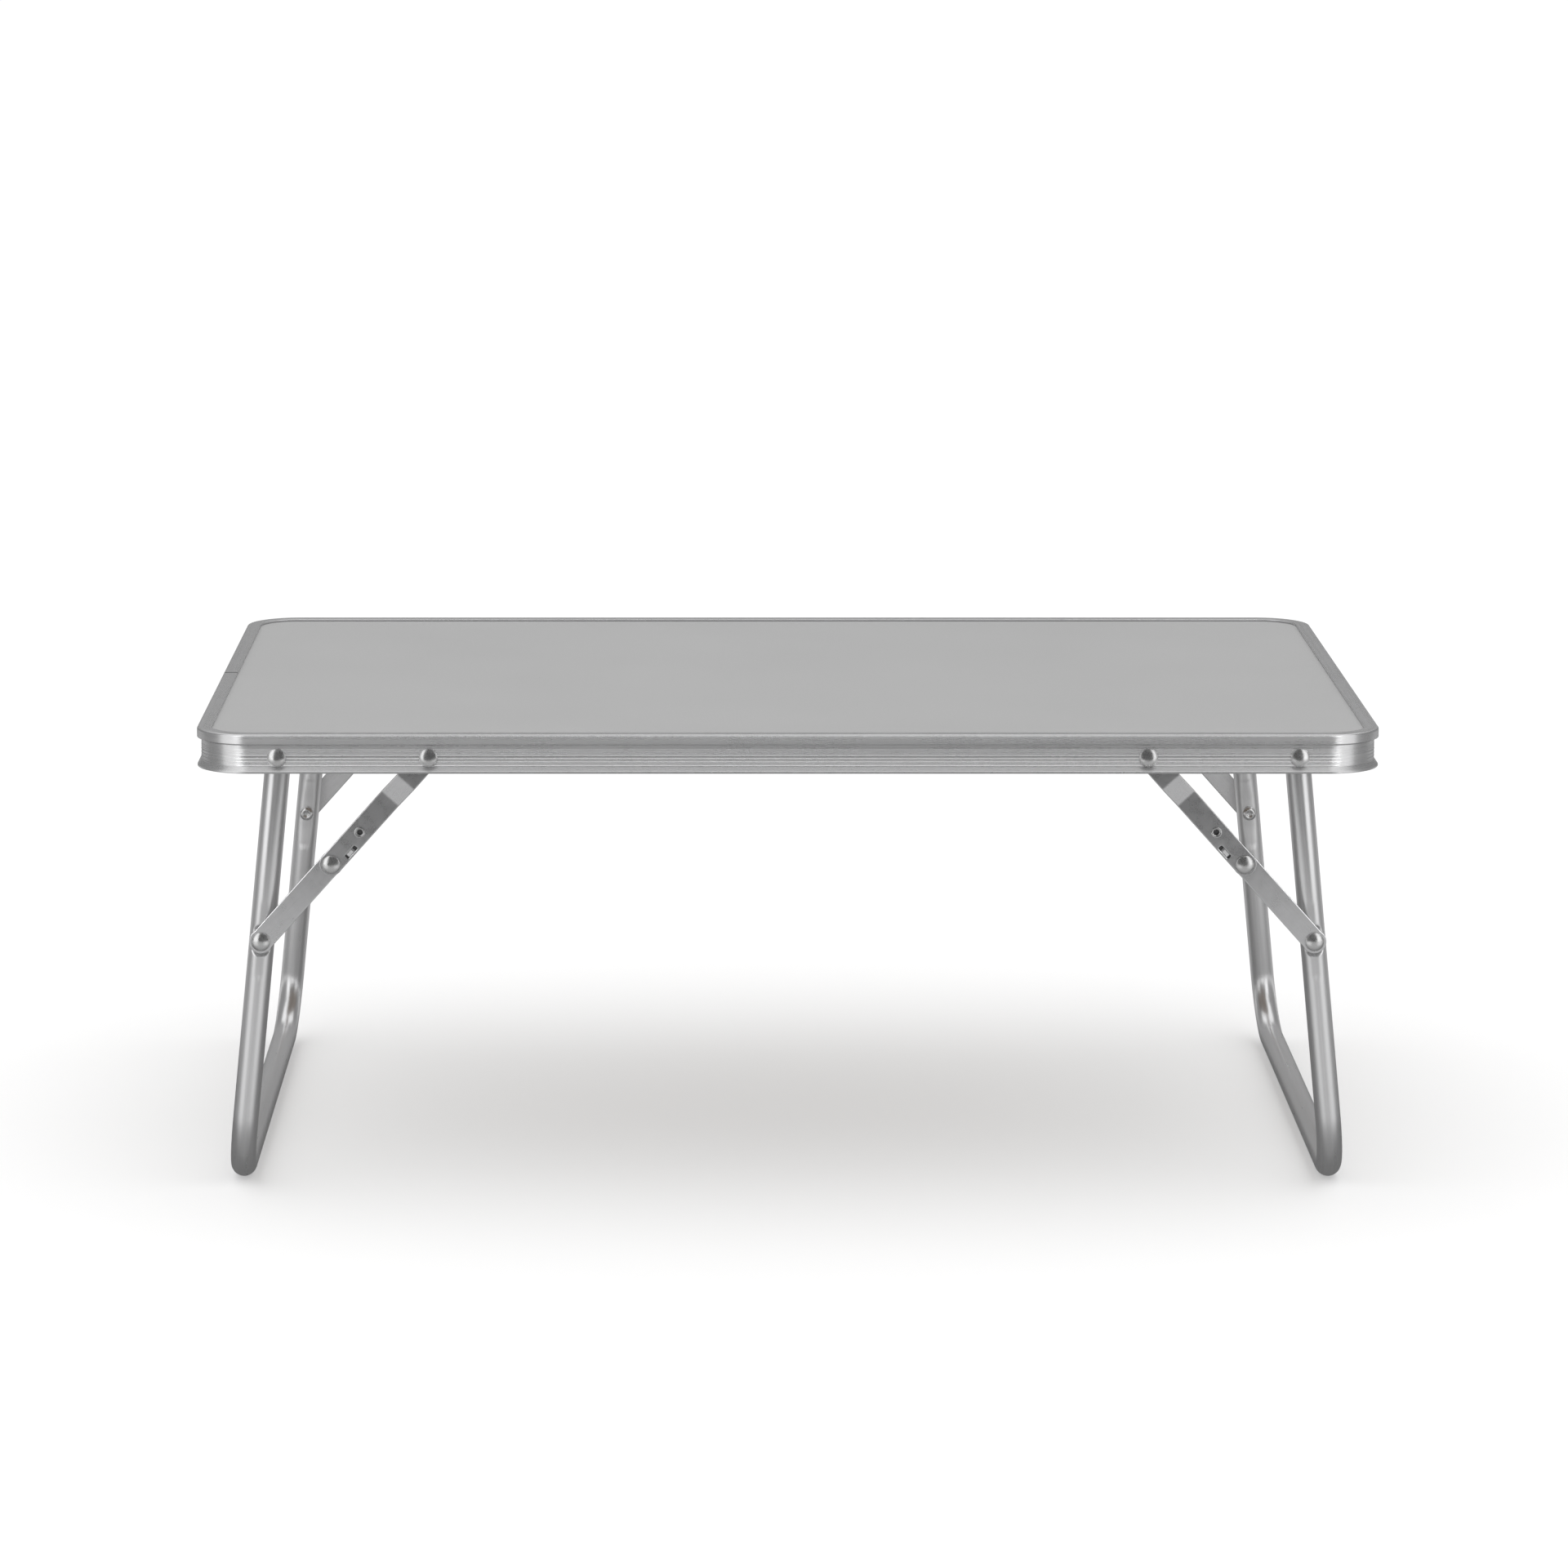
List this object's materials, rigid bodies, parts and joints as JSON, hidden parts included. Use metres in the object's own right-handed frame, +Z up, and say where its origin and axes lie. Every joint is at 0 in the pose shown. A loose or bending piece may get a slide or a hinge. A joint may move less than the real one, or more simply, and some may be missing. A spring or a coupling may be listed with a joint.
{
  "type": "folding side table",
  "caption": "Low folding camp table: laminate top in a fluted aluminium edge rail, two U-shaped tube legs that fold flat under it, and folding link braces with spring catches.",
  "frame": {"origin": "on the floor under the middle of the top, with the legs open", "axes": "+X along the long side towards the right, +Y towards the rear, +Z up; the front is towards -Y"},
  "size_m": [0.6, 0.4016, 0.24],
  "materials": {
    "laminate": "matte laminate",
    "hardboard": "plain hardboard",
    "rail_aluminium": "satin anodised",
    "tube_aluminium": "satin drawn tube",
    "zinc_steel": "zinc plated",
    "rivet_steel": "polished nickel plate",
    "spring_steel": "spring steel"
  },
  "bodies": {
    "tabletop": {"top_laminate": "laminate", "panel_core": "hardboard", "edge_rail": "rail_aluminium", "rail_joiner": "rail_aluminium", "rail_joiner_rivets": "rivet_steel", "leg_pivot_rivets": "rivet_steel", "leg_pivot_spacers": "zinc_steel", "leg_pivot_washers": "zinc_steel", "brace_pivot_rivets": "rivet_steel", "brace_pivot_washers": "zinc_steel"},
    "left_leg": {"left_leg_tube": "tube_aluminium", "left_leg_rivets": "rivet_steel", "left_leg_spacers": "zinc_steel", "left_leg_washers": "zinc_steel"},
    "right_leg": {"right_leg_tube": "tube_aluminium", "right_leg_rivets": "rivet_steel", "right_leg_spacers": "zinc_steel", "right_leg_washers": "zinc_steel"},
    "upper_brace_front_left": {"upper_link_front_left": "zinc_steel", "mid_rivet_front_left": "rivet_steel", "mid_washer_front_left": "zinc_steel", "catch_rivet_front_left": "rivet_steel"},
    "lower_brace_front_left": {"lower_link_front_left": "zinc_steel", "mid_rivet_tail_front_left": "rivet_steel"},
    "catch_front_left": {"catch_spring_front_left": "spring_steel"},
    "upper_brace_rear_left": {"upper_link_rear_left": "zinc_steel", "mid_rivet_rear_left": "rivet_steel", "mid_washer_rear_left": "zinc_steel", "catch_rivet_rear_left": "rivet_steel"},
    "lower_brace_rear_left": {"lower_link_rear_left": "zinc_steel", "mid_rivet_tail_rear_left": "rivet_steel"},
    "catch_rear_left": {"catch_spring_rear_left": "spring_steel"},
    "upper_brace_front_right": {"upper_link_front_right": "zinc_steel", "mid_rivet_front_right": "rivet_steel", "mid_washer_front_right": "zinc_steel", "catch_rivet_front_right": "rivet_steel"},
    "lower_brace_front_right": {"lower_link_front_right": "zinc_steel", "mid_rivet_tail_front_right": "rivet_steel"},
    "catch_front_right": {"catch_spring_front_right": "spring_steel"},
    "upper_brace_rear_right": {"upper_link_rear_right": "zinc_steel", "mid_rivet_rear_right": "rivet_steel", "mid_washer_rear_right": "zinc_steel", "catch_rivet_rear_right": "rivet_steel"},
    "lower_brace_rear_right": {"lower_link_rear_right": "zinc_steel", "mid_rivet_tail_rear_right": "rivet_steel"},
    "catch_rear_right": {"catch_spring_rear_right": "spring_steel"}
  },
  "joints": [
    {"name": "left_leg_fold", "type": "hinge", "parent": "tabletop", "child": "left_leg", "pos_m": [-0.258, 0, 0.228], "axis": [0, -1, 0], "range_deg": [0, 95.8]},
    {"name": "right_leg_fold", "type": "hinge", "parent": "tabletop", "child": "right_leg", "pos_m": [0.258, 0, 0.228], "axis": [0, 1, 0], "range_deg": [0, 95.8]},
    {"name": "upper_brace_front_left_turn", "type": "hinge", "parent": "tabletop", "child": "upper_brace_front_left", "pos_m": [-0.1815, 0, 0.228], "axis": [0, -1, 0], "range_deg": [0, 131.8]},
    {"name": "lower_brace_front_left_turn", "type": "hinge", "parent": "left_leg", "child": "lower_brace_front_left", "pos_m": [-0.26782, 0, 0.1313], "axis": [0, -1, 0], "range_deg": [-144.1, 0]},
    {"name": "catch_front_left_press", "type": "hinge", "parent": "upper_brace_front_left", "child": "catch_front_left", "pos_m": [-0.21413, -0.19, 0.19145], "axis": [0.746, 0, -0.6659], "range_deg": [0, 3], "stiffness_Nm_per_rad": 0.3},
    {"name": "upper_brace_rear_left_turn", "type": "hinge", "parent": "tabletop", "child": "upper_brace_rear_left", "pos_m": [-0.1815, 0, 0.228], "axis": [0, -1, 0], "range_deg": [0, 131.8]},
    {"name": "lower_brace_rear_left_turn", "type": "hinge", "parent": "left_leg", "child": "lower_brace_rear_left", "pos_m": [-0.26782, 0, 0.1313], "axis": [0, -1, 0], "range_deg": [-144.1, 0]},
    {"name": "catch_rear_left_press", "type": "hinge", "parent": "upper_brace_rear_left", "child": "catch_rear_left", "pos_m": [-0.21413, 0.19, 0.19145], "axis": [-0.746, 0, 0.6659], "range_deg": [0, 3], "stiffness_Nm_per_rad": 0.3},
    {"name": "upper_brace_front_right_turn", "type": "hinge", "parent": "tabletop", "child": "upper_brace_front_right", "pos_m": [0.1815, 0, 0.228], "axis": [0, 1, 0], "range_deg": [0, 131.8]},
    {"name": "lower_brace_front_right_turn", "type": "hinge", "parent": "right_leg", "child": "lower_brace_front_right", "pos_m": [0.26782, 0, 0.1313], "axis": [0, 1, 0], "range_deg": [-144.1, 0]},
    {"name": "catch_front_right_press", "type": "hinge", "parent": "upper_brace_front_right", "child": "catch_front_right", "pos_m": [0.21413, -0.19, 0.19145], "axis": [0.746, 0, 0.6659], "range_deg": [0, 3], "stiffness_Nm_per_rad": 0.3},
    {"name": "upper_brace_rear_right_turn", "type": "hinge", "parent": "tabletop", "child": "upper_brace_rear_right", "pos_m": [0.1815, 0, 0.228], "axis": [0, 1, 0], "range_deg": [0, 131.8]},
    {"name": "lower_brace_rear_right_turn", "type": "hinge", "parent": "right_leg", "child": "lower_brace_rear_right", "pos_m": [0.26782, 0, 0.1313], "axis": [0, 1, 0], "range_deg": [-144.1, 0]},
    {"name": "catch_rear_right_press", "type": "hinge", "parent": "upper_brace_rear_right", "child": "catch_rear_right", "pos_m": [0.21413, 0.19, 0.19145], "axis": [-0.746, 0, -0.6659], "range_deg": [0, 3], "stiffness_Nm_per_rad": 0.3}
  ],
  "couplings": [
    {"joint": "upper_brace_front_left_turn", "follows": "left_leg_fold", "ratio": 1.3753},
    {"joint": "lower_brace_front_left_turn", "follows": "left_leg_fold", "ratio": -1.5036},
    {"joint": "upper_brace_rear_left_turn", "follows": "left_leg_fold", "ratio": 1.3753},
    {"joint": "lower_brace_rear_left_turn", "follows": "left_leg_fold", "ratio": -1.5036},
    {"joint": "upper_brace_front_right_turn", "follows": "right_leg_fold", "ratio": 1.3753},
    {"joint": "lower_brace_front_right_turn", "follows": "right_leg_fold", "ratio": -1.5036},
    {"joint": "upper_brace_rear_right_turn", "follows": "right_leg_fold", "ratio": 1.3753},
    {"joint": "lower_brace_rear_right_turn", "follows": "right_leg_fold", "ratio": -1.5036}
  ]
}
